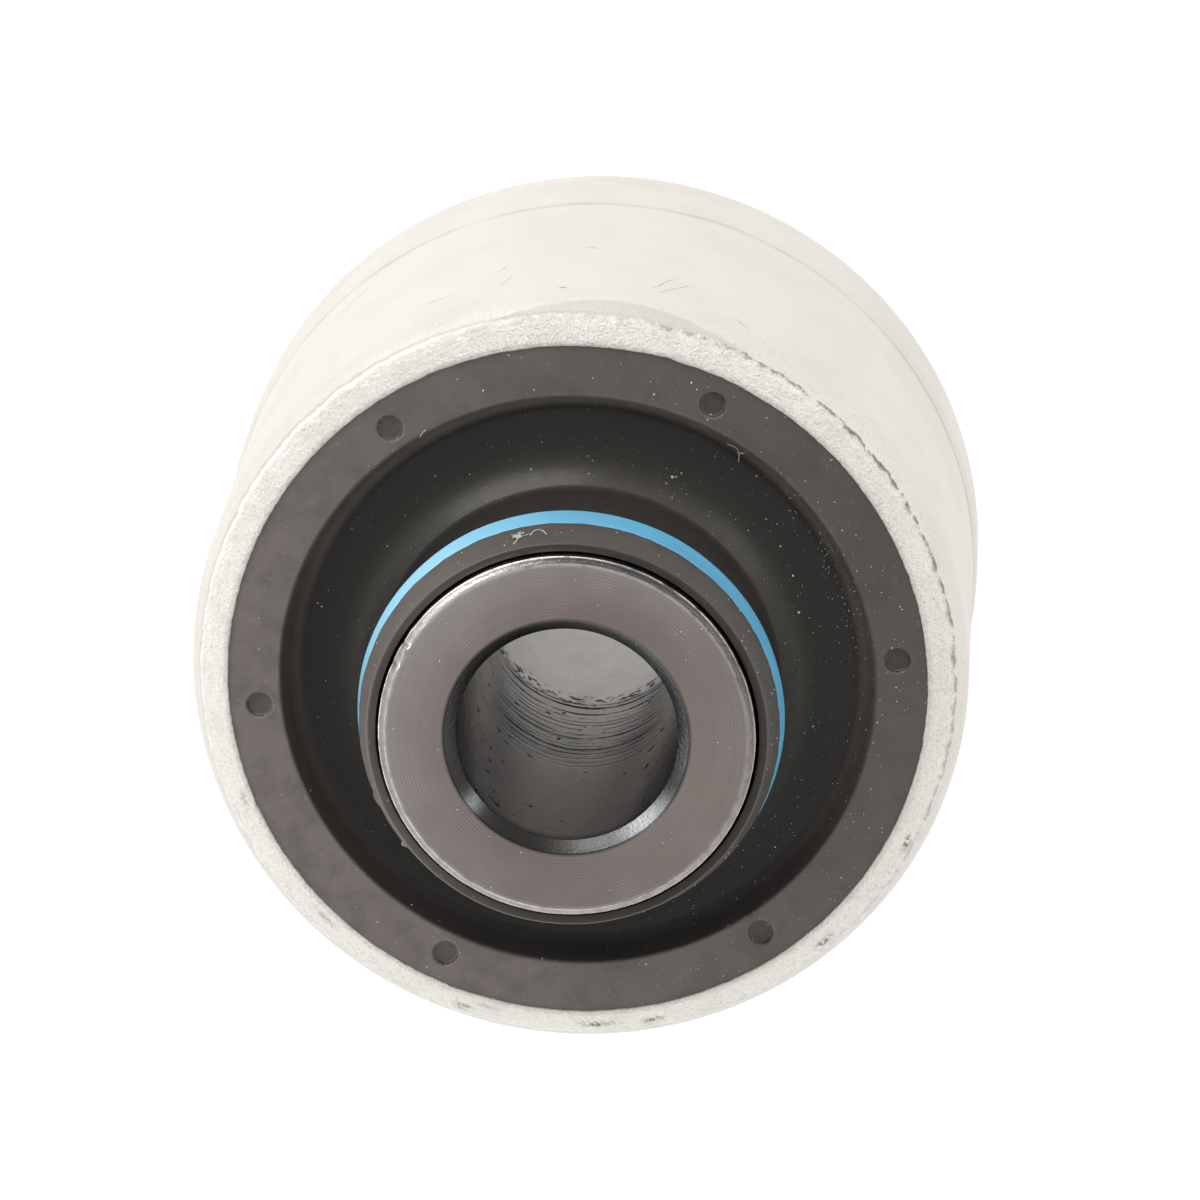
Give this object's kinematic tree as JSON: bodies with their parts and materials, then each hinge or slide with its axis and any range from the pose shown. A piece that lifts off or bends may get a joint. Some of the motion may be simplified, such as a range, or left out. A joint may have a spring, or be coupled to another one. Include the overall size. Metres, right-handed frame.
{
  "type": "ball-sleeve suspension bush",
  "caption": "Press-in ball-sleeve bush: a bored steel ball sleeve turning in a lined steel casing, sealed by rubber boots with blue clamp rings.",
  "frame": {"origin": "centre of the sleeve's rear end face, on which the bush stands", "axes": "+Z along the bolt bore, from the rear end, by the casing's collar, to the front end; X and Y are equal by symmetry"},
  "size_m": [0.0586, 0.0586, 0.065],
  "materials": {
    "sleeve_steel": "turned",
    "casing_steel": "zinc-plated, sandy",
    "race_plastic": "moulded",
    "press_ring_steel": "pressed",
    "boot_rubber": "matte",
    "ring_plastic": "satin"
  },
  "bodies": {
    "sleeve": {"ball_sleeve": "sleeve_steel"},
    "neck_rings": {"retaining_ring_front": "ring_plastic", "retaining_ring_rear": "ring_plastic"},
    "casing": {"outer_casing": "casing_steel", "bearing_race_front": "race_plastic", "bearing_race_rear": "race_plastic", "press_ring_front": "press_ring_steel", "press_ring_rear": "press_ring_steel", "boot_front": "boot_rubber", "boot_rear": "boot_rubber"}
  },
  "joints": [
    {"name": "sleeve_spin", "type": "hinge", "parent": "sleeve", "child": "neck_rings", "pos_m": [0, 0, 0.0325], "axis": [0, 0, 1], "continuous": true},
    {"name": "casing_tilt", "type": "hinge", "parent": "neck_rings", "child": "casing", "pos_m": [0, 0, 0.0325], "axis": [1, 0, 0], "range_deg": [-8, 8], "deforming": ["boot_front", "boot_rear"]}
  ]
}
